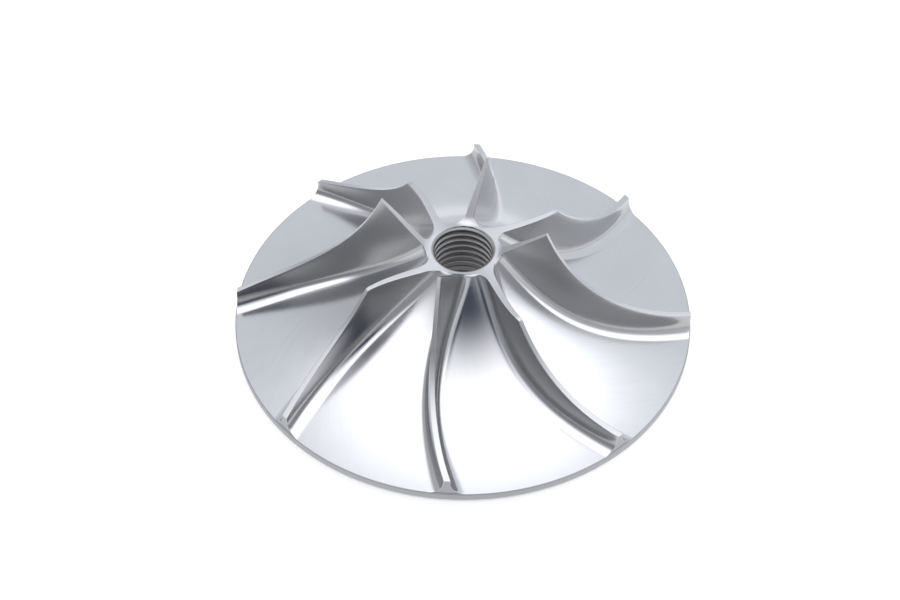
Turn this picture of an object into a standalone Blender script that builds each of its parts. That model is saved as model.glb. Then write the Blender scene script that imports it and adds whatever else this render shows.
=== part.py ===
"""Open pump impeller, milled from one round blank of aluminium.

Metres, +Z up. The origin is the centre of the flat back face, which rests on the floor,
and the shaft axis is +Z. The whole impeller is one piece of metal: a thin disc that sweeps
up into a hub, a flat nose with a tapped bore through it, and eight curved blades. Every
second blade is tall and stands above the nose. The ones between are cut off level with it.
"""

import math

import bmesh
import bpy
from mathutils import Vector

MM = 0.001

# Disc, nose and bore.
OUTER_RADIUS = 44.0 * MM
RIM_THICKNESS = 2.4 * MM
BACK_EDGE_BREAK = 0.6 * MM      # the chamfer between the rim and the flat back
NOSE_RADIUS = 7.05 * MM
NOSE_HEIGHT = 20.75 * MM
BORE_RADIUS = 5.5 * MM          # the crests of an M12 x 1.5 thread, which is cut shallow
BORE_MOUTH_RADIUS = 5.98 * MM   # both ends are chamfered down to the thread's root

# Control points of two cubic Bezier lines, each as radius, height and sweep. The sweep is
# in degrees about the shaft, ahead of the blade's outer end when positive. The first line
# is the blade's foot and also the hub's outline. The second is the blade's free edge.
FOOT_LINE = (
    (NOSE_RADIUS, NOSE_HEIGHT, -2.8),
    (16.15 * MM, 9.95 * MM, -18.35),
    (26.0 * MM, 4.12 * MM, -8.0),
    (OUTER_RADIUS, RIM_THICKNESS, 0.0),
)
EDGE_LINE = (
    (16.0 * MM, 29.5 * MM, -12.45),
    (22.0 * MM, 13.7 * MM, -11.05),
    (34.1 * MM, 8.82 * MM, -5.25),
    (OUTER_RADIUS, 5.98 * MM, 0.0),
)

# Blades.
BLADE_PAIRS = 4
FIRST_BLADE = 41.2              # degrees from +X to the outer end of one low blade
BLADE_STEP = 180.0 / BLADE_PAIRS
INLET_THICKNESS = 0.69 * MM     # at the free edge, next to the nose
OUTLET_THICKNESS = 1.27 * MM    # at the free edge, next to the rim
FLANK_TAPER = math.tan(math.radians(2.5))

# The fillets at a blade's foot grow from nose to rim, most of it near the rim. Where two
# blades stand close, a fillet takes no more than its share of the gap between them.
INNER_FILLET = 1.6 * MM
OUTER_FILLET = 2.7 * MM
FILLET_GROWTH = 1.8
FILLET_SHARE = 0.44

# Half way up, a blade bows by a few degrees of sweep at the nose, and less and less towards
# the rim. BOW_FADE says how soon, counted from 0 at the nose to 1 at the rim.
BOW = -2.0
BOW_FADE = 0.33

# How finely the curved faces are divided.
STATIONS = 18                   # steps along a blade, from nose to rim
FILLET_STEPS = 2
FLANK_STEPS = 3
PASSAGE_STEPS = 5               # steps round the hub, from one blade to the next
BORE_STEPS = 48


def bezier(points, t):
    """Point at t, from 0 to 1, on the cubic Bezier line with these control points."""
    weights = ((1 - t) ** 3, 3 * t * (1 - t) ** 2, 3 * t * t * (1 - t), t ** 3)
    return tuple(sum(w * p[axis] for w, p in zip(weights, points)) for axis in range(3))


def place(radius, height, degrees):
    """Point in space from its radius, its height and its angle about the shaft."""
    angle = math.radians(degrees)
    return Vector((radius * math.cos(angle), radius * math.sin(angle), height))


def flank_levels(top, fillet):
    """Heights above the hub and fillet widths of one flank, from its foot up to top."""
    turn = math.acos(max(0.0, 1.0 - top / fillet))
    levels = []
    for step in range(FILLET_STEPS + 1):
        angle = turn * step / FILLET_STEPS
        rise = fillet * (1 - math.cos(angle))
        levels.append((rise, fillet * (1 - math.sin(angle))))
    start, width = levels[-1]
    for step in range(1, FLANK_STEPS + 1):
        levels.append((start + (top - start) * step / FLANK_STEPS, width))
    return levels


def blade_section(t, low):
    """One cut across a blade at t: its points from foot to top, as radius, height,
    angle of the middle line and half width in degrees."""
    foot = bezier(FOOT_LINE, t)
    edge = bezier(EDGE_LINE, t)
    length = math.hypot(edge[0] - foot[0], edge[1] - foot[1])
    top = length
    if low and edge[1] > NOSE_HEIGHT:
        top = length * (NOSE_HEIGHT - foot[1]) / (edge[1] - foot[1])
    thickness = INLET_THICKNESS + (OUTLET_THICKNESS - INLET_THICKNESS) * t
    gap = foot[0] * math.radians(BLADE_STEP) - thickness - 2 * FLANK_TAPER * length
    fillet = INNER_FILLET + (OUTER_FILLET - INNER_FILLET) * t ** FILLET_GROWTH
    bow = BOW * math.exp(-t / BOW_FADE)
    section = []
    for rise, width in flank_levels(top, min(fillet, FILLET_SHARE * gap)):
        share = rise / length
        radius, height, sweep = (f + share * (e - f) for f, e in zip(foot, edge))
        sweep += 4 * share * (1 - share) * bow
        half = thickness / 2 + FLANK_TAPER * (length - rise) + width
        section.append((radius, height, sweep, math.degrees(half / radius)))
    return section


def ring(mesh, t):
    """One closed ring of points round the shaft at t, over every blade and passage."""
    foot_radius, foot_height, _ = bezier(FOOT_LINE, t)
    sections = [blade_section(t, low) for low in (True, False)]
    columns = []
    for number in range(2 * BLADE_PAIRS):
        turn = FIRST_BLADE + BLADE_STEP * number
        section = sections[number % 2]
        near = [mesh.verts.new(place(r, z, turn + a - half)) for r, z, a, half in section]
        far = [mesh.verts.new(place(r, z, turn + a + half)) for r, z, a, half in section]
        following = sections[(number + 1) % 2][0]
        start = turn + section[0][2] + section[0][3]
        end = turn + BLADE_STEP + following[2] - following[3]
        floor = []
        for step in range(1, PASSAGE_STEPS):
            angle = start + (end - start) * step / PASSAGE_STEPS
            floor.append(mesh.verts.new(place(foot_radius, foot_height, angle)))
        columns.append((near, far, floor))
    return columns


def outline(columns):
    """The ring's points in order, up and over each blade and along each passage."""
    points = []
    for near, far, floor in columns:
        points += near + far[::-1] + floor
    return points


def base_line(columns):
    """The ring's points in order, straight across the foot of each blade."""
    points = []
    for near, far, floor in columns:
        points += [near[0], far[0]] + floor
    return points


def skin(mesh, first, second):
    """Faces between two closed lines that have the same number of points."""
    count = len(first)
    for index in range(count):
        after = (index + 1) % count
        mesh.faces.new((first[index], second[index], second[after], first[after]))


def cap_blades(mesh, columns, numbers):
    """Close the ends of these blades between their two flanks."""
    for number in numbers:
        near, far, _ = columns[number]
        for low, high in zip(range(len(near) - 1), range(1, len(near))):
            mesh.faces.new((near[low], far[low], far[high], near[high]))


def circle(mesh, radius, height, count):
    """Points evenly round the shaft."""
    return [mesh.verts.new(place(radius, height, 360.0 * step / count)) for step in range(count)]


def fill_flat(mesh, outer, inner):
    """Flat face between two closed lines that lie in one plane."""
    edges = []
    for line in (outer, inner):
        for index, vertex in enumerate(line):
            pair = (vertex, line[(index + 1) % len(line)])
            edges.append(mesh.edges.get(pair) or mesh.edges.new(pair))
    bmesh.ops.triangle_fill(mesh, use_beauty=True, use_dissolve=False, edges=edges)


def impeller_mesh():
    """The whole impeller as one closed skin."""
    mesh = bmesh.new()
    rings = [ring(mesh, step / STATIONS) for step in range(STATIONS + 1)]
    for inner, outer in zip(rings, rings[1:]):
        skin(mesh, outline(inner), outline(outer))
    every_blade = range(2 * BLADE_PAIRS)
    cap_blades(mesh, rings[0], every_blade[1::2])
    cap_blades(mesh, rings[-1], every_blade)

    rim_top = base_line(rings[-1])
    rim_edge = [mesh.verts.new((v.co.x, v.co.y, BACK_EDGE_BREAK)) for v in rim_top]
    inset = 1 - BACK_EDGE_BREAK / OUTER_RADIUS
    rim_bottom = [mesh.verts.new((v.co.x * inset, v.co.y * inset, 0.0)) for v in rim_top]
    skin(mesh, rim_top, rim_edge)
    skin(mesh, rim_edge, rim_bottom)

    mouth_depth = BORE_MOUTH_RADIUS - BORE_RADIUS
    bore = (
        circle(mesh, BORE_MOUTH_RADIUS, NOSE_HEIGHT, BORE_STEPS),
        circle(mesh, BORE_RADIUS, NOSE_HEIGHT - mouth_depth, BORE_STEPS),
        circle(mesh, BORE_RADIUS, mouth_depth, BORE_STEPS),
        circle(mesh, BORE_MOUTH_RADIUS, 0.0, BORE_STEPS),
    )
    for upper, lower in zip(bore, bore[1:]):
        skin(mesh, upper, lower)
    fill_flat(mesh, base_line(rings[0]), bore[0])
    fill_flat(mesh, rim_bottom, bore[-1])

    # A low blade runs out to nothing at the nose, so its points meet there.
    bmesh.ops.remove_doubles(mesh, verts=mesh.verts, dist=0.001 * MM)
    bmesh.ops.recalc_face_normals(mesh, faces=mesh.faces)
    data = bpy.data.meshes.new("impeller")
    mesh.to_mesh(data)
    mesh.free()
    return data


def aluminium():
    """Bare milled aluminium."""
    material = bpy.data.materials.new("milled_aluminium")
    material.use_nodes = True
    shader = material.node_tree.nodes["Principled BSDF"]
    shader.inputs["Base Color"].default_value = (0.74, 0.75, 0.77, 1.0)
    shader.inputs["Metallic"].default_value = 1.0
    shader.inputs["Roughness"].default_value = 0.32
    return material


def main():
    for old in list(bpy.data.objects):
        bpy.data.objects.remove(old, do_unlink=True)
    data = impeller_mesh()
    data.materials.append(aluminium())
    data.shade_smooth()
    data.set_sharp_from_angle(angle=math.radians(35.0))
    impeller = bpy.data.objects.new("impeller", data)
    bpy.context.scene.collection.objects.link(impeller)


main()
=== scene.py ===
# %% [markdown]
# # An open pump impeller, milled from one piece of aluminium
#
# The object is a small pump impeller lying on its flat back: a thin disc that sweeps up into
# a hub, a flat nose with a threaded bore, and eight curved blades. The blades are of two
# kinds that take turns, tall ones that stand above the nose and low ones that are cut off
# level with it. We build its fine surface here, then its finish, its light and its camera.
#
# The first cell loads the plain model that this one dresses, and keeps its box.

# %% Load the frame
import math

import bmesh
import bpy
from mathutils import Matrix, Vector


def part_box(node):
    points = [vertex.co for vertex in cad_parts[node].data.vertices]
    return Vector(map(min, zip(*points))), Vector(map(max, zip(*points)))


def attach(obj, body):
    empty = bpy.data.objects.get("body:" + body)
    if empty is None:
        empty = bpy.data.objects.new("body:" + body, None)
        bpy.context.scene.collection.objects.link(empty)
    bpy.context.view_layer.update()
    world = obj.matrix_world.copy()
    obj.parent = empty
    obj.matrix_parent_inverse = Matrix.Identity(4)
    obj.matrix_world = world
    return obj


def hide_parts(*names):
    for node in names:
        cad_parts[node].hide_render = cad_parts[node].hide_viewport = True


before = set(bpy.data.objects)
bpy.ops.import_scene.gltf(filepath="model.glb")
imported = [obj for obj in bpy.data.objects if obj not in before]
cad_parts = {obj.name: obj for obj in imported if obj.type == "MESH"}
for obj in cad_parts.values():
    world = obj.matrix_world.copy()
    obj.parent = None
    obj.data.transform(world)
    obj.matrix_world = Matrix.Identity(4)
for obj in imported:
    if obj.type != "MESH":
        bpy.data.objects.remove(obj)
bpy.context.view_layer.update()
low_corner, high_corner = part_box("impeller")
MM = 0.001
OUTER_RADIUS = (high_corner[0] - low_corner[0]) / 2
print("disc radius", round(OUTER_RADIUS / MM, 2), "mm, height", round(high_corner[2] / MM, 2), "mm")

# %% [markdown]
# ## The two lines that give the shape
#
# A turner and a miller would make this part in two steps. On the lathe the blank gets its
# outside shape, which is also the shape of the blades' free edges. Then a ball-nosed cutter
# clears the metal between the blades down to the hub. So two lines hold the whole design:
# the foot line, where blade meets hub, and the edge line, where the blade ends.
#
# Each is a cubic Bezier line with four control points. A point holds a radius, a height and
# a sweep: how many degrees the blade lags there behind its own outer end. A Bezier line is
# smooth with very few numbers, and the blade between the two lines is then ruled, like a
# ribbon held along both edges. The foot line starts a little above the flat nose, and is held
# down to it with a small round, as a hand with a file leaves that corner.

# %% Foot line and edge line
RIM_THICKNESS = 2.4 * MM
NOSE_RADIUS = 6.75 * MM
NOSE_HEIGHT = 20.75 * MM
NOSE_ROUND = 0.3 * MM
RIM_EDGE_BREAK = 0.2 * MM
END_RADIUS = OUTER_RADIUS - RIM_EDGE_BREAK

FOOT_LINE = (
    (NOSE_RADIUS, NOSE_HEIGHT + 0.36 * MM, -2.8),
    (16.15 * MM, 9.95 * MM, -18.35),
    (26.0 * MM, 4.12 * MM, -8.0),
    (END_RADIUS, RIM_THICKNESS, 0.0),
)
EDGE_LINE = (
    (16.0 * MM, 29.5 * MM, -12.45),
    (22.0 * MM, 13.7 * MM, -11.05),
    (34.1 * MM, 8.82 * MM, -5.25),
    (END_RADIUS, 5.98 * MM, 0.0),
)


def bezier(points, t):
    """Point at t, from 0 to 1, on the cubic Bezier line with these control points."""
    weights = ((1 - t) ** 3, 3 * t * (1 - t) ** 2, 3 * t * t * (1 - t), t ** 3)
    return tuple(sum(w * p[axis] for w, p in zip(weights, points)) for axis in range(3))


def foot_point(t):
    """Point at t on the foot line, held down to the flat nose."""
    radius, height, sweep = bezier(FOOT_LINE, t)
    over = height - NOSE_HEIGHT
    if over >= NOSE_ROUND:
        height = NOSE_HEIGHT
    elif over > -NOSE_ROUND:
        height -= (over + NOSE_ROUND) ** 2 / (4 * NOSE_ROUND)
    return radius, height, sweep


def place(radius, height, degrees):
    """Point in space from its radius, its height and its angle about the shaft."""
    angle = math.radians(degrees)
    return Vector((radius * math.cos(angle), radius * math.sin(angle), height))


for t in (0.0, 0.5, 1.0):
    print("foot", [round(v / MM, 1) for v in foot_point(t)[:2]],
          "edge", [round(v / MM, 1) for v in bezier(EDGE_LINE, t)[:2]])

# %% [markdown]
# ## One cut across a blade
#
# Cut across, a blade is a thin wall. It stands on the hub in two round fillets, which have
# the radius of the cutter's ball, and thins a little towards the top because the cutter's
# shank is slightly tapered. Its top corners are only broken with a file, by less than a tenth
# of a millimetre. That tiny round matters in a render: it is what catches the light.
#
# We describe one flank as a list of points that climb from the hub to the top. Each holds a
# height above the hub and a half width.

# %% Blade section
BLADE_PAIRS = 4
BLADES = 2 * BLADE_PAIRS
BLADE_STEP = 360.0 / BLADES
INLET_THICKNESS = 0.69 * MM
OUTLET_THICKNESS = 1.27 * MM
FLANK_TAPER = math.tan(math.radians(2.5))
INNER_FILLET = 1.6 * MM        # near the nose
OUTER_FILLET = 2.7 * MM        # at the rim
FILLET_GROWTH = 1.8
FILLET_SHARE = 0.44            # of the gap between two blades, where they stand close
CUSP = math.radians(3.4)       # how far the ball cuts on past its lowest point
BOW, BOW_FADE = -2.0, 0.33     # degrees of sweep between foot and edge, and how soon it fades
EDGE_BREAK = 0.08 * MM
CUSP_START = 0.2               # the t by which the cusp has its full height
FILLET_STEPS, FLANK_STEPS, EDGE_STEPS = 14, 6, 3
FILLET_LOW = 8                 # the steps that the ball's underside cuts, like the floor


def flank(top, length, thickness, fillet, cusp):
    """Climbing points of one flank, as (height above the hub, half width)."""
    def wall(rise):
        return thickness / 2 + FLANK_TAPER * (length - rise)

    turn = math.acos(max(0.0, 1.0 - top / fillet))
    points = []
    for step in range(FILLET_STEPS + 1):
        angle = (turn + cusp) * step / FILLET_STEPS - cusp
        rise = fillet * (math.cos(cusp) - math.cos(angle))
        points.append((rise, wall(rise) + fillet * (1 - math.sin(angle))))
    start, widening = points[-1][0], fillet * (1 - math.sin(turn))
    corner = min(EDGE_BREAK, (top - start) / 2)
    for step in range(1, FLANK_STEPS + 1):
        rise = start + (top - corner - start) * step / FLANK_STEPS
        points.append((rise, wall(rise) + widening))
    straight_up = points[-1][1]
    for step in range(1, EDGE_STEPS + 1):
        angle = math.pi / 2 * step / EDGE_STEPS
        points.append((top - corner * (1 - math.sin(angle)),
                       straight_up - corner * (1 - math.cos(angle))))
    return points


def section(t, low, pull):
    """A blade's flank at t as (radius, height, sweep, half width in degrees, climb).
    A low blade is cut off at the nose's height. pull narrows it, to break its end edges."""
    foot, edge = foot_point(t), bezier(EDGE_LINE, t)
    length = math.hypot(edge[0] - foot[0], edge[1] - foot[1])
    bow = BOW * math.exp(-t / BOW_FADE)
    top = length
    if low and edge[1] > NOSE_HEIGHT:
        top = length * (NOSE_HEIGHT - foot[1]) / (edge[1] - foot[1])
    thickness = INLET_THICKNESS + (OUTLET_THICKNESS - INLET_THICKNESS) * t
    fillet = INNER_FILLET + (OUTER_FILLET - INNER_FILLET) * t ** FILLET_GROWTH
    gap = foot[0] * math.radians(BLADE_STEP) - thickness - 2 * FLANK_TAPER * length
    points = []
    cusp = CUSP * min(1.0, t / CUSP_START)
    for rise, half in flank(top, length, thickness, min(fillet, FILLET_SHARE * gap), cusp):
        share = rise / length
        radius, height, sweep = (f + share * (e - f) for f, e in zip(foot, edge))
        sweep += 4 * share * (1 - share) * bow
        points.append((radius, height, sweep, math.degrees((half - pull) / radius), rise))
    return points


print("points on one flank:", len(section(0.5, False, 0.0)))

# %% [markdown]
# ## Rings round the shaft
#
# We could cut the blades out of a solid with Booleans, as the real cutter does, but where a
# fillet runs out almost flat against the hub a Boolean leaves ragged slivers. Instead we draw
# closed rings round the shaft, one for each step from nose to rim. Every ring runs along the
# floor of a passage, up one flank, across the top, down the other flank, and on to the next
# passage. All rings have the same number of points, so neighbours join into clean quads.
#
# Each point also carries where it is on the cutter's path. The finish uses that later.

# %% Ring points
FIRST_BLADE = 41.2
PASSAGE_STEPS, TOP_STEPS = 12, 6
PASSAGE_WIDTH = 20.0 * MM
PATH_SPACING = 100.0 * MM
FLOOR, FLANK, TURNED, BACK, THREAD, RIM, FILLET = range(7)


def arc(mesh, near, far, count):
    """Points between two points of one ring, on the same circle round the shaft."""
    start = math.atan2(near.co.y, near.co.x)
    swing = (math.atan2(far.co.y, far.co.x) - start) % (2 * math.pi)
    radius, height = math.hypot(near.co.x, near.co.y), near.co.z
    turns = (math.degrees(start + swing * step / count) for step in range(1, count))
    return [mesh.verts.new(place(radius, height, turn)) for turn in turns]


def ring(mesh, t, pull):
    """One ring: for each blade its near flank, top, far flank and the floor that follows."""
    foot_radius, foot_height, _ = foot_point(t)
    sections = [section(t, low, pull) for low in (True, False)]
    columns = []
    for number in range(BLADES):
        turn = FIRST_BLADE + BLADE_STEP * number
        here, following = sections[number % 2], sections[(number + 1) % 2][0]
        near = [mesh.verts.new(place(r, z, turn + a - half)) for r, z, a, half, _ in here]
        far = [mesh.verts.new(place(r, z, turn + a + half)) for r, z, a, half, _ in here]
        top = arc(mesh, near[-1], far[-1], TOP_STEPS)
        start = turn + here[0][2] + here[0][3]
        end = turn + BLADE_STEP + following[2] - following[3]
        floor = []
        for step in range(1, PASSAGE_STEPS):
            angle = start + (end - start) * step / PASSAGE_STEPS
            floor.append(mesh.verts.new(place(foot_radius, foot_height, angle)))
        columns.append({"near": near, "top": top, "far": far, "floor": floor,
                        "climb": [point[4] for point in here]})
    return columns


def outline(columns, by_nose):
    """A ring's points in order. Each comes with the finish of the face that follows it, and
    with how far across the cutter's path that face starts and ends. By the nose, the lathe
    rounded the corner between floor and nose."""
    floor, fillet = (TURNED, TURNED) if by_nose else (FLOOR, FILLET)
    points = []
    for number, column in enumerate(columns):
        climb = column["climb"]
        near_foot = number * PATH_SPACING
        far_foot = near_foot + 3 * max(climb)
        finishes = [fillet if step < FILLET_LOW else FLANK for step in range(len(climb) - 1)]
        for step, point in enumerate(column["near"][:-1]):
            points.append((point, finishes[step],
                           near_foot + climb[step], near_foot + climb[step + 1]))
        for point in [column["near"][-1]] + column["top"]:
            points.append((point, TURNED, near_foot + climb[-1], near_foot + climb[-1]))
        for step in range(len(climb) - 1, 0, -1):
            points.append((column["far"][step], finishes[step - 1],
                           far_foot - climb[step], far_foot - climb[step - 1]))
        width = PASSAGE_WIDTH / PASSAGE_STEPS
        for step, point in enumerate([column["far"][0]] + column["floor"]):
            start = far_foot + step * width
            points.append((point, floor, start, start + width))
    return points


# %% [markdown]
# ## Joining the rings
#
# `join` fills between two rings with quads. Two more helpers close the open ends. A blade's
# end is filled row by row, with points on a true circle, because the lathe turned it. A flat
# ring, such as the nose, is filled with triangles between two closed lines.

# %% Skin helpers
def quad(mesh, corners, finish, places=None):
    """One face with its finish and, if given, its places on the cutter's path."""
    face = mesh.faces.new(corners)
    face.material_index = finish
    if places:
        path = mesh.loops.layers.uv["cutter_path"]
        for loop, where in zip(face.loops, places):
            loop[path].uv = where
    return face


def join(mesh, first, second, along_first, along_second):
    """Quads between two outlines that have the same number of points."""
    count = len(first)
    for index in range(count):
        after = (index + 1) % count
        point, finish, start, end = first[index]
        corners = (point, second[index][0], second[after][0], first[after][0])
        places = ((start, along_first), (start, along_second),
                  (end, along_second), (end, along_first))
        quad(mesh, corners, finish, places)


def close_blade(mesh, column, finish):
    """Fill a blade's end between its flanks, and return the points across its foot."""
    rows = []
    for near, far in zip(column["near"][:-1], column["far"][:-1]):
        rows.append([near] + arc(mesh, near, far, TOP_STEPS) + [far])
    rows.append([column["near"][-1]] + column["top"] + [column["far"][-1]])
    for lower, upper in zip(rows, rows[1:]):
        for left in range(TOP_STEPS):
            quad(mesh, (lower[left], lower[left + 1], upper[left + 1], upper[left]), finish)
    return rows[0][1:-1]


def plain_line(columns, feet):
    """A ring's points in order, straight across each blade's foot."""
    line = []
    for column, foot in zip(columns, feet):
        line += [column["near"][0]] + foot + [column["far"][0]] + column["floor"]
    return line


def line_at(mesh, angles, radius, height):
    """Points at these angles on one circle round the shaft."""
    return [mesh.verts.new(place(radius, height, angle)) for angle in angles]


def band(mesh, upper, lower, finish):
    """Quads between two closed lines that have the same number of points."""
    for index in range(len(upper)):
        after = (index + 1) % len(upper)
        quad(mesh, (upper[index], lower[index], lower[after], upper[after]), finish)


def flat_ring(mesh, outer, inner, finish):
    """Triangles between two closed lines that lie in one plane."""
    edges = []
    for line in (outer, inner):
        for index, vertex in enumerate(line):
            pair = (vertex, line[(index + 1) % len(line)])
            edges.append(mesh.edges.get(pair) or mesh.edges.new(pair))
    made = bmesh.ops.triangle_fill(mesh, use_beauty=True, use_dissolve=False, edges=edges)
    for face in made["geom"]:
        if isinstance(face, bmesh.types.BMFace):
            face.material_index = finish


# %% [markdown]
# ## The threaded bore
#
# The bore has a fine M12 x 1.5 thread, cut shallow. It is a tap's work: a groove with sloping
# flanks that climbs 1.5 mm in each turn. A Screw modifier could sweep the profile, but the
# thread has to end cleanly in the rounded lips at both mouths. So we lay rows that climb with
# the thread, hold them between the two faces, and give each point the larger of two radii: the
# thread's and the lip's. The lip then cuts through the crests as a countersink does.

# %% Bore
THREAD_RADIUS, THREAD_PITCH = 6.0 * MM, 1.5 * MM
THREAD_DEPTH = 0.5 * MM
THREAD_ROWS = 24
LIP = 0.55 * MM
MOUTH_RADIUS = THREAD_RADIUS - THREAD_DEPTH + LIP
BORE_STEPS = 72
# How far through one pitch, and how deep into the metal: crest, flank, root, flank.
THREAD_PROFILE = ((0.0, 0.0), (0.205, 0.0), (0.23, 0.03), (0.33, 0.5), (0.43, 0.97),
                  (0.5, 1.0), (0.57, 0.97), (0.67, 0.5), (0.77, 0.03), (0.795, 0.0))


def groove(turns):
    """Depth of the thread's groove, from 0 to 1, at this many pitches along the bore."""
    phase = turns % 1.0
    stations = THREAD_PROFILE + ((1.0, 0.0),)
    for (a, deep_a), (b, deep_b) in zip(stations, stations[1:]):
        if a <= phase <= b:
            return deep_a + (deep_b - deep_a) * (phase - a) / (b - a)
    return 0.0


def lip_radius(depth):
    """Radius of a mouth's rounded lip at this depth under the face."""
    left = max(LIP - depth, 0.0)
    return MOUTH_RADIUS - math.sqrt(LIP ** 2 - left ** 2)


def thread(mesh):
    """The threaded wall. Returns the circles at its upper and lower mouths."""
    pitches = int(NOSE_HEIGHT / THREAD_PITCH) + 3
    rows = [step / THREAD_ROWS - 1.0 for step in range(pitches * THREAD_ROWS + 1)]
    grid = []
    for row in rows:
        line = []
        for step in range(BORE_STEPS + 1):
            turn = step / BORE_STEPS
            held = min(max((row + turn) * THREAD_PITCH, 0.0), NOSE_HEIGHT)
            radius = THREAD_RADIUS - THREAD_DEPTH * (1 - groove(held / THREAD_PITCH - turn))
            radius = max(radius, lip_radius(min(held, NOSE_HEIGHT - held)))
            line.append(mesh.verts.new(place(radius, held, 360.0 * turn)))
        grid.append(line)
    path = 2 * math.pi * THREAD_RADIUS / BORE_STEPS
    for number, (below, above) in enumerate(zip(grid, grid[1:])):
        for step in range(BORE_STEPS):
            corners = (below[step], above[step], above[step + 1], below[step + 1])
            if len({round(corner.co.z / MM, 4) for corner in corners}) > 1:
                left, right = step * path, (step + 1) * path
                low, high = rows[number] * THREAD_PITCH, rows[number + 1] * THREAD_PITCH
                quad(mesh, corners, THREAD,
                     ((left, low), (left, high), (right, high), (right, low)))
    return grid[-1][:-1], grid[0][:-1]


# %% [markdown]
# ## The whole skin
#
# Now the parts come together in one closed skin. Near both ends of the blades a few extra
# rings narrow the blade by a hair, which breaks the sharp edges there. The rim's two edges
# are rounded, as a turned disc's are.
#
# A tall blade's inlet edge is turned on the lathe as a slope, and the tool's round tip leaves
# a hollow curve where that slope meets the flat nose. We fill the nose with rows of quads, so
# that there are points to lift there, and then lift them along that curve.

# %% Build the impeller
STATIONS = 96                    # rings for each unit of t
NOSE_STATIONS = 500              # the same by the nose, where the skin bends sharply
NOSE_ROWS, ROUND_STEPS = 6, 6
NOSE_ROUND_END = 0.018           # the t at which the corner between floor and nose ends
NOSE_GAP = 0.04 * MM             # between the nose's last row and the bore's lip
BACK_EDGE_BREAK = 0.95 * MM
FOOT_LENGTH = 45.0 * MM          # how far the foot line runs for each unit of t, at its ends
LEAD_BLEND = 1.0 * MM            # how far the hollow curve reaches to each side of the corner
LEAD_HALF, LEAD_FADE = 0.5 * MM, 2.2 * MM   # full lift within the first, none past the second
LEAD_SLOPE = (EDGE_LINE[0][1] - NOSE_HEIGHT) / (EDGE_LINE[0][0] - NOSE_RADIUS)


def stations():
    """Pairs of t and pull, from nose to rim."""
    end = []
    for step in range(EDGE_STEPS + 1):
        angle = math.pi / 2 * step / EDGE_STEPS
        t = EDGE_BREAK * (1 - math.cos(angle)) / FOOT_LENGTH
        end.append((t, EDGE_BREAK * (1 - math.sin(angle))))
    nose_round = [(step / NOSE_STATIONS, 0.0) for step in range(2, 12)]
    middle = [(step / STATIONS, 0.0) for step in range(3, STATIONS)]
    return end + nose_round + middle + [(1 - t, pull) for t, pull in end[::-1]]


def soft(value, start, end):
    """From 1 at start to 0 at end, with a soft step."""
    share = min(max((value - start) / (end - start), 0.0), 1.0)
    return 1 - share * share * (3 - 2 * share)


def blend_inlet_edges(mesh):
    """Lift the skin where a tall blade's sloping inlet edge meets the flat nose."""
    for vertex in mesh.verts:
        reach = math.hypot(vertex.co.x, vertex.co.y) - NOSE_RADIUS
        if abs(reach) >= LEAD_BLEND or vertex.co.z < NOSE_HEIGHT - MM:
            continue
        share = max(reach, 0.0) / (EDGE_LINE[0][0] - NOSE_RADIUS)
        middle = FIRST_BLADE + BLADE_STEP + FOOT_LINE[0][2]
        middle += share * (EDGE_LINE[0][2] - FOOT_LINE[0][2])
        turn = math.degrees(math.atan2(vertex.co.y, vertex.co.x)) - middle
        turn = (turn + BLADE_STEP) % (2 * BLADE_STEP)
        aside = abs(math.radians(turn - BLADE_STEP)) * (reach + NOSE_RADIUS)
        under = NOSE_HEIGHT + max(reach, 0.0) * LEAD_SLOPE - vertex.co.z
        lift = (LEAD_BLEND - abs(reach)) ** 2 / (4 * LEAD_BLEND) * LEAD_SLOPE
        vertex.co.z += lift * soft(aside, LEAD_HALF, LEAD_FADE) * soft(under, 0.0, MM)


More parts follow.
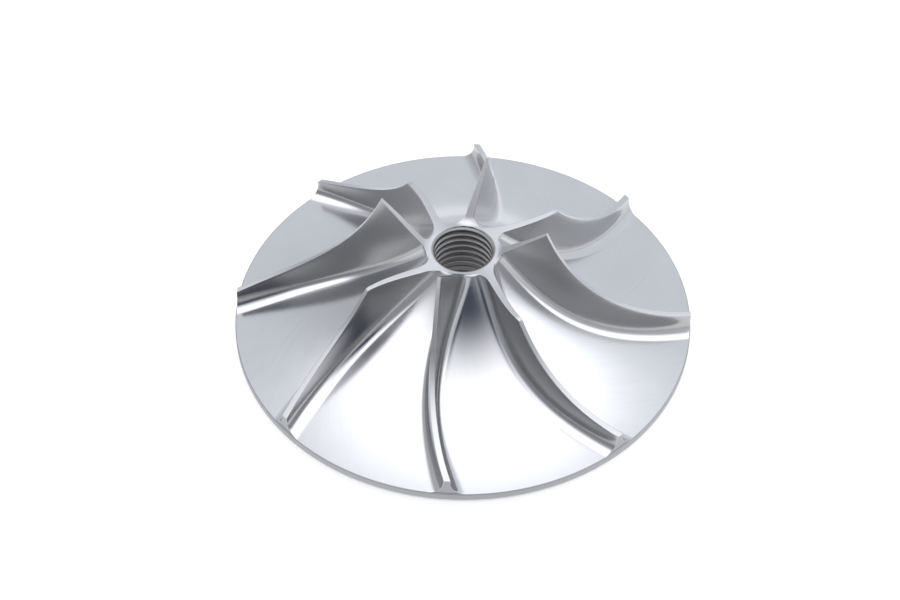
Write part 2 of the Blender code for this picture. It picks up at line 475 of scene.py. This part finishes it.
def build_skin():
    """The impeller's skin as a new mesh."""
    mesh = bmesh.new()
    mesh.loops.layers.uv.new("cutter_path")
    steps = stations()
    rings = [ring(mesh, t, pull) for t, pull in steps]
    outlines = [outline(columns, t < NOSE_ROUND_END) for columns, (t, _) in zip(rings, steps)]
    for index in range(len(rings) - 1):
        join(mesh, outlines[index], outlines[index + 1],
             steps[index][0] * FOOT_LENGTH, steps[index + 1][0] * FOOT_LENGTH)

    nose_feet = []
    for number, column in enumerate(rings[0]):
        nose_feet.append(column["top"] if number % 2 == 0 else close_blade(mesh, column, TURNED))
    nose_lines = [plain_line(rings[0], nose_feet)]
    angles = [math.degrees(math.atan2(point.co.y, point.co.x)) for point in nose_lines[0]]
    inner_radius = MOUTH_RADIUS + NOSE_GAP
    for step in range(1, NOSE_ROWS + 1):
        radius = NOSE_RADIUS + (inner_radius - NOSE_RADIUS) * step / NOSE_ROWS
        nose_lines.append(line_at(mesh, angles, radius, NOSE_HEIGHT))
        band(mesh, nose_lines[-2], nose_lines[-1], TURNED)

    rim_lines = [plain_line(rings[-1], [close_blade(mesh, column, RIM) for column in rings[-1]])]
    angles = [math.degrees(math.atan2(point.co.y, point.co.x)) for point in rim_lines[0]]
    quarter = [math.pi / 2 * step / ROUND_STEPS for step in range(ROUND_STEPS + 1)]
    profile = []
    for turn in quarter[1:]:
        profile.append((RIM_EDGE_BREAK * (1 - math.sin(turn)),
                        RIM_THICKNESS - RIM_EDGE_BREAK * (1 - math.cos(turn))))
    for turn in quarter:
        profile.append((BACK_EDGE_BREAK * (1 - math.cos(turn)),
                        BACK_EDGE_BREAK * (1 - math.sin(turn))))
    for inset, height in profile:
        rim_lines.append(line_at(mesh, angles, OUTER_RADIUS - inset, height))
        band(mesh, rim_lines[-2], rim_lines[-1], BACK if height < BACK_EDGE_BREAK else RIM)

    upper_mouth, lower_mouth = thread(mesh)
    flat_ring(mesh, nose_lines[-1], upper_mouth, TURNED)
    flat_ring(mesh, rim_lines[-1], lower_mouth, BACK)
    bmesh.ops.remove_doubles(mesh, verts=mesh.verts, dist=0.0005 * MM)
    blend_inlet_edges(mesh)
    bmesh.ops.recalc_face_normals(mesh, faces=mesh.faces)
    mesh.edges.index_update()
    return mesh


mesh = build_skin()
open_edges = sum(1 for edge in mesh.edges if not edge.is_manifold)
print("points", len(mesh.verts), "faces", len(mesh.faces), "open edges", open_edges)
print("volume", round(mesh.calc_volume() * 1e6, 2), "cubic centimetres")
creases = [edge.index for edge in mesh.edges
           if {face.material_index for face in edge.link_faces} == {FLOOR, FILLET}]
print("edges on the cusps", len(creases))

# %% [markdown]
# The skin becomes one object. It rides on the model's only body, stands for its only node,
# and is shaded smooth. A hard line stays wherever two faces meet at more than 34 degrees, and
# along the cusps, where two passes of the ball meet.

# %% Impeller object
SHARP_ANGLE = math.radians(34.0)
data = bpy.data.meshes.new("impeller_skin")
mesh.to_mesh(data)
mesh.free()
impeller = bpy.data.objects.new("impeller_skin", data)
bpy.context.scene.collection.objects.link(impeller)
data.shade_smooth()
data.set_sharp_from_angle(angle=SHARP_ANGLE)
for index in creases:
    data.edges[index].use_edge_sharp = True
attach(impeller, "root")
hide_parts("impeller")


# %% [markdown]
# ## A helper for materials
#
# Blender's materials are graphs of nodes. This small class adds a node and links it in one
# call, so that the cells below read like sums. Its `ramp` is a soft step.

# %% Node helper
class Nodes:
    """Adds nodes to one tree and links them."""

    def __init__(self, tree):
        self.tree = tree

    def add(self, kind, **settings):
        node = self.tree.nodes.new(kind)
        for name, value in settings.items():
            setattr(node, name, value)
        return node

    def feed(self, socket, value):
        if hasattr(value, "is_output"):
            self.tree.links.new(value, socket)
        else:
            socket.default_value = value

    def math(self, operation, *values, clamp=False):
        node = self.add("ShaderNodeMath", operation=operation, use_clamp=clamp)
        for socket, value in zip(node.inputs, values):
            self.feed(socket, value)
        return node.outputs[0]

    def ramp(self, value, start, end, low=0.0, high=1.0):
        """A soft step: low where value is under start, high where it is over end."""
        node = self.add("ShaderNodeMapRange", interpolation_type="SMOOTHSTEP")
        for socket, given in zip(node.inputs, (value, start, end, low, high)):
            self.feed(socket, given)
        return node.outputs[0]

    def mix(self, share, first, second):
        node = self.add("ShaderNodeMix", data_type="RGBA")
        self.feed(node.inputs[0], share)
        self.feed(node.inputs[6], first)
        self.feed(node.inputs[7], second)
        return node.outputs[2]


# %% [markdown]
# ## Bare aluminium, cut in three ways
#
# The whole part is one bare metal, and what tells its faces apart is how each was cut, plus a
# painted shade that darkens the flanks, the rim and the thread. The ball-nosed cutter left the
# passages and flanks with faint lines along its path. The lathe left rings on the nose, on the
# blades' edges and on the rim, coarser and more matt. The back was faced with a wider feed.
#
# We could paint these marks as pictures, but lines worked out from the cutter's path stay
# sharp at any distance and bend with each blade. Every face of the skin already carries how
# far it lies along and across the path, so one stretched noise gives the streaks, and a sine
# wave gives the cutter's steps. Both go to bump and, a little, to roughness and colour.
#
# A lathe's grooves also stretch every highlight across themselves. They are too fine to show
# one by one, so the shader's anisotropy does that, along a tangent that runs round the shaft.

# %% Metal helpers
METAL = (0.60, 0.61, 0.625)


def metal(name, roughness, color=METAL):
    """A bare metal with its tree's helper and its shader."""
    material = bpy.data.materials.new(name)
    material.use_nodes = True
    shader = material.node_tree.nodes["Principled BSDF"]
    shader.inputs["Base Color"].default_value = (*color, 1.0)
    shader.inputs["Metallic"].default_value = 1.0
    shader.inputs["Roughness"].default_value = roughness
    return material, Nodes(material.node_tree), shader


def noise(nodes, x, y=0.0, z=0.0, detail=2.0):
    """Smooth noise from 0 to 1 at these coordinates."""
    join_up = nodes.add("ShaderNodeCombineXYZ")
    for socket, value in zip(join_up.inputs, (x, y, z)):
        nodes.feed(socket, value)
    made = nodes.add("ShaderNodeTexNoise")
    nodes.feed(made.inputs["Vector"], join_up.outputs[0])
    made.inputs["Scale"].default_value = 1.0
    made.inputs["Detail"].default_value = detail
    return made.outputs["Fac"]


def place_on_part(nodes, scale):
    """Three coordinates on the part, counted in lengths of scale."""
    split = nodes.add("ShaderNodeSeparateXYZ")
    nodes.feed(split.inputs[0], nodes.add("ShaderNodeTexCoord").outputs["Object"])
    return [nodes.math("DIVIDE", axis, scale) for axis in split.outputs]


def finish(nodes, shader, height, mark, patch, roughness, spread, color=METAL, stain=0.08):
    """Height in metres goes to bump. mark and patch, from 0 to 1, vary roughness and colour."""
    bump = nodes.add("ShaderNodeBump")
    bump.inputs["Strength"].default_value = 1.0
    bump.inputs["Distance"].default_value = 1.0
    nodes.feed(bump.inputs["Height"], height)
    nodes.feed(shader.inputs["Normal"], bump.outputs[0])
    both = nodes.math("ADD", nodes.math("MULTIPLY", mark, 0.5), nodes.math("MULTIPLY", patch, 0.5))
    rough = nodes.math("MULTIPLY_ADD", both, 2 * spread, roughness - spread)
    nodes.feed(shader.inputs["Roughness"], rough)
    dark = tuple((1 - stain) * part for part in color)
    light = tuple(min(1.0, (1 + stain) * part) for part in color)
    nodes.feed(shader.inputs["Base Color"], nodes.mix(both, (*dark, 1), (*light, 1)))


# %% [markdown]
# ## The cutter's finish and the lathe's
#
# `milled` reads a face's place on the cutter's path. Across the path lies one small step for
# each pass of the ball, and along it run long, thin streaks. `turned` needs no path, because
# the lathe's rings lie at equal steps of radius and height round the shaft.

# %% Milled finish
STREAK_WIDTH, STREAK_LENGTH = 0.45 * MM, 14 * MM
MILLED_PATCH, TURNED_PATCH = 7 * MM, 3 * MM      # size of the soft patches in tone


def milled(name, roughness, spread, step, step_height, streak_height, color=METAL):
    """A ball-nosed cutter's finish: steps across its path, streaks along it."""
    material, nodes, shader = metal(name, roughness, color)
    split = nodes.add("ShaderNodeSeparateXYZ")
    nodes.feed(split.inputs[0], nodes.add("ShaderNodeUVMap", uv_map="cutter_path").outputs[0])
    across, along = split.outputs[0], split.outputs[1]
    wave = nodes.math("SINE", nodes.math("MULTIPLY", across, 2 * math.pi / step))
    streak = noise(nodes, nodes.math("DIVIDE", across, STREAK_WIDTH),
                   nodes.math("DIVIDE", along, STREAK_LENGTH), detail=3.0)
    patch = noise(nodes, *place_on_part(nodes, MILLED_PATCH))
    height = nodes.math("ADD", nodes.math("MULTIPLY", wave, step_height),
                        nodes.math("MULTIPLY", streak, streak_height))
    finish(nodes, shader, height, streak, patch, roughness, spread, color)
    return material


# %% Turned finish
RINGS_PER_MM = 2.2              # how fine the uneven rings are
STRETCH = 0.9                   # how far the grooves stretch a highlight


def turned(name, roughness, spread, feed, groove_height, color=METAL):
    """A lathe's finish: rings round the shaft, at equal steps of radius plus height."""
    material, nodes, shader = metal(name, roughness, color)
    x, y, z = place_on_part(nodes, MM)
    squares = [nodes.math("MULTIPLY", axis, axis) for axis in (x, y)]
    radius = nodes.math("SQRT", nodes.math("ADD", *squares))
    reach = nodes.math("ADD", radius, z)
    wave = nodes.math("SINE", nodes.math("MULTIPLY", reach, 2 * math.pi * MM / feed))
    ring_mark = noise(nodes, nodes.math("MULTIPLY", reach, RINGS_PER_MM), detail=3.0)
    patch = noise(nodes, *place_on_part(nodes, TURNED_PATCH))
    height = nodes.math("MULTIPLY", nodes.math("ADD", wave, ring_mark), groove_height)
    finish(nodes, shader, height, ring_mark, patch, roughness, spread, color)
    around = nodes.add("ShaderNodeTangent", direction_type="RADIAL", axis="Z")
    nodes.feed(shader.inputs["Tangent"], around.outputs[0])
    shader.inputs["Anisotropic"].default_value = STRETCH
    shader.inputs["Anisotropic Rotation"].default_value = 0.0
    return material


# %% [markdown]
# ## The six finishes
#
# All six are the same aluminium. The flanks, the rim and most of all the thread get a darker
# base colour, which is painted shade: it stands in for the dim light that the flanks and rim
# reflect and for the shade inside the bore. The numbers are the roughness and how far it
# varies, then the distance between grooves and their height.

# %% Finishes
# Painted shade: the flanks' base colour is darkened to stand in for the dim light they reflect.
FLANK_PAINTED_SHADE = (0.48, 0.48, 0.485)
# Painted shade: the rim's base colour is darkened to stand in for the shaded table it reflects.
RIM_PAINTED_SHADE = (0.37, 0.375, 0.39)
# Painted shade: the thread's base colour is darkened most, for the shade inside the bore.
THREAD_PAINTED_SHADE = (0.355, 0.355, 0.36)

milled_floor = milled("milled_floor", 0.19, 0.05, 0.7 * MM, 0.0005 * MM, 0.005 * MM)
milled_flank = milled("milled_flank", 0.25, 0.05, 0.6 * MM, 0.0006 * MM, 0.008 * MM, FLANK_PAINTED_SHADE)
turned_edge = turned("turned_edge", 0.42, 0.05, 0.16 * MM, 0.0008 * MM)
turned_back = turned("turned_back", 0.32, 0.06, 0.3 * MM, 0.003 * MM)
tapped_thread = turned("tapped_thread", 0.48, 0.08, 0.2 * MM, 0.002 * MM, THREAD_PAINTED_SHADE)
turned_rim = turned("turned_rim", 0.34, 0.06, 0.16 * MM, 0.0008 * MM, RIM_PAINTED_SHADE)

# In the order of the face numbers. A fillet's low part is cut as the floor is.
by_number = {FLOOR: milled_floor, FLANK: milled_flank, TURNED: turned_edge, BACK: turned_back,
             THREAD: tapped_thread, RIM: turned_rim, FILLET: milled_floor}
for number in sorted(by_number):
    data.materials.append(by_number[number])
print("finishes", [material.name for material in data.materials])

# %% [markdown]
# ## The table
#
# Small metal parts are often photographed on a sheet of white acrylic that is lit from below.
# It shows plain white with hardly a shadow. We could light a matt plane from above, but then a
# grey edge of shadow would run round the disc. So the plane gets a white that also glows, under
# a clear coat. Seen at a flat angle, as the blades see it, the coat mirrors the dimmer walls.

# %% Floor
bpy.ops.mesh.primitive_plane_add(size=3.0, location=(0, 0, 0))
floor = bpy.context.active_object
floor.name = "studio_floor"
acrylic = bpy.data.materials.new("lit_white_acrylic")
acrylic.use_nodes = True
sheet = acrylic.node_tree.nodes["Principled BSDF"].inputs
sheet["Base Color"].default_value = (0.35, 0.35, 0.35, 1)
sheet["Roughness"].default_value = 0.5
sheet["Emission Color"].default_value = (1.0, 1.0, 1.0, 1)
sheet["Emission Strength"].default_value = 0.75
sheet["Coat Weight"].default_value = 1.0
sheet["Coat Roughness"].default_value = 0.3
sheet["Coat IOR"].default_value = 2.2
floor.data.materials.append(acrylic)

# %% [markdown]
# ## The camera
#
# The part is seen through a long lens from about 48 degrees above the table, so that near and
# far blades keep nearly the same size. We could point a camera at a target with a constraint,
# but its height, distance and roll are easier to fit to a picture as plain numbers. The view's
# own right, up and back directions follow from them, and they fill the camera's matrix.

# %% Camera
ELEVATION = math.radians(47.68)
CAMERA_DISTANCE = 453.9 * MM
ROLL = math.radians(-0.17)
AIM_RIGHT, AIM_UP = -2.48 * MM, 4.37 * MM
FOCAL_PIXELS, FRAME_PIXELS, SENSOR = 2334.2, 900, 36.0
cos_roll, sin_roll = math.cos(ROLL), math.sin(ROLL)
level, rise = math.cos(ELEVATION), math.sin(ELEVATION)
right = Vector((cos_roll, -sin_roll * rise, -sin_roll * level))
up = Vector((sin_roll, cos_roll * rise, cos_roll * level))
back = Vector((0, -level, rise))
lens = bpy.data.cameras.new("camera")
lens.sensor_width = SENSOR
lens.lens = FOCAL_PIXELS * SENSOR / FRAME_PIXELS
lens.clip_start, lens.clip_end = 0.01, 20.0
camera = bpy.data.objects.new("camera", lens)
bpy.context.scene.collection.objects.link(camera)
camera.matrix_world = Matrix([(*row, 0) for row in zip(right, up, back)] + [(0, 0, 0, 1)])
camera.location = AIM_RIGHT * right + AIM_UP * up + CAMERA_DISTANCE * back
bpy.context.scene.camera = camera
print("lens", round(lens.lens, 1), "mm at", round(CAMERA_DISTANCE / MM), "mm")

# %% [markdown]
# ## The light
#
# Bare metal has hardly a tone of its own. It shows the room around it, so the room is what we
# have to make: pale walls, dimmer on the camera's side, and one wide softbox overhead. Lamps
# could stand for the softbox, but their edges would be hard in the metal, and on the real
# flanks bright turns into dark over some width. So the whole room is drawn in the world's own
# shader, from nothing but the direction a ray leaves in.
#
# x points right, y away from the camera and z up. `across` and `away` say where a ray meets a
# ceiling that hangs one unit above the part. `gap` is a dark strip in the middle of the near
# wall, as wide as a person standing at the camera. It gives the dark blue patch on the floor
# of the passage nearest to us.

# %% Directions
world = bpy.data.worlds.new("studio")
bpy.context.scene.world = world
world.use_nodes = True
nodes = Nodes(world.node_tree)
split = nodes.add("ShaderNodeSeparateXYZ")
nodes.feed(split.inputs[0], nodes.add("ShaderNodeTexCoord").outputs["Generated"])
x, y, z = split.outputs
height = nodes.math("MAXIMUM", z, 0.05)
across = nodes.math("DIVIDE", x, height)
away = nodes.math("DIVIDE", y, height)
gap = nodes.math("MULTIPLY", nodes.ramp(across, -0.34, -0.1), nodes.ramp(across, 1.05, 0.6))

# %% Walls
BACK_LEFT, BACK_RIGHT = (0.57, 0.575, 0.60, 1), (0.88, 0.91, 0.97, 1)
NEAR_LEFT = (0.38, 0.385, 0.405, 1)
NEAR_RIGHT_HIGH, NEAR_RIGHT_LOW = (0.68, 0.685, 0.71, 1), (0.92, 0.93, 0.96, 1)
DARK_STRIP = (0.035, 0.045, 0.08, 1)

back_wall = nodes.mix(nodes.ramp(x, -0.95, -0.1), BACK_LEFT, BACK_RIGHT)
near_right = nodes.mix(nodes.ramp(z, 0.45, 0.1), NEAR_RIGHT_HIGH, NEAR_RIGHT_LOW)
near_wall = nodes.mix(nodes.ramp(x, -0.2, 0.6), NEAR_LEFT, near_right)
walls = nodes.mix(nodes.ramp(y, -0.25, 0.25), near_wall, back_wall)
strip = nodes.math("MULTIPLY", gap, nodes.ramp(y, -0.1, -0.35))
strip = nodes.math("MULTIPLY", strip, nodes.ramp(z, 0.4, 0.58))
room = nodes.mix(strip, walls, DARK_STRIP)

# %% [markdown]
# The softbox is a wide panel in that ceiling, with very soft edges. Its far edge slants a
# little and draws back at both corners. Its near edge draws back over the dark strip.

# %% Softbox
SOFTBOX_TONE = (2.0, 2.0, 2.05, 1)
FAR_LEFT, FAR_RIGHT, FAR_SOFTNESS = 0.46, 0.59, 0.29
CORNER_START, CORNER_SLOPE = 0.75, 0.3
NEAR_EDGE, NEAR_DRAW_BACK, NEAR_SOFTNESS = -0.74, 0.22, 0.5

far_edge = nodes.ramp(across, -0.7, 0.7, FAR_LEFT, FAR_RIGHT)
past = nodes.math("SUBTRACT", nodes.math("ABSOLUTE", across), CORNER_START)
corner = nodes.math("MULTIPLY", nodes.math("MAXIMUM", past, 0.0), CORNER_SLOPE)
far_edge = nodes.math("SUBTRACT", far_edge, corner)
near_edge = nodes.math("MULTIPLY_ADD", gap, NEAR_DRAW_BACK, NEAR_EDGE)
softbox = 1.0
for inside in (
    nodes.ramp(nodes.math("SUBTRACT", away, far_edge), FAR_SOFTNESS, -FAR_SOFTNESS),
    nodes.ramp(nodes.math("SUBTRACT", away, near_edge), -NEAR_SOFTNESS, NEAR_SOFTNESS),
    nodes.ramp(across, -1.85, -1.1),      # its left side
    nodes.ramp(across, 2.5, 1.3),         # its right side
    nodes.ramp(z, 0.1, 0.3),              # nothing of it near the horizon
):
    softbox = nodes.math("MULTIPLY", softbox, inside)
light = nodes.mix(softbox, room, SOFTBOX_TONE)
background = world.node_tree.nodes["Background"]
nodes.feed(background.inputs["Color"], light)
background.inputs["Strength"].default_value = 1.0
bpy.context.scene.view_settings.view_transform = "Standard"
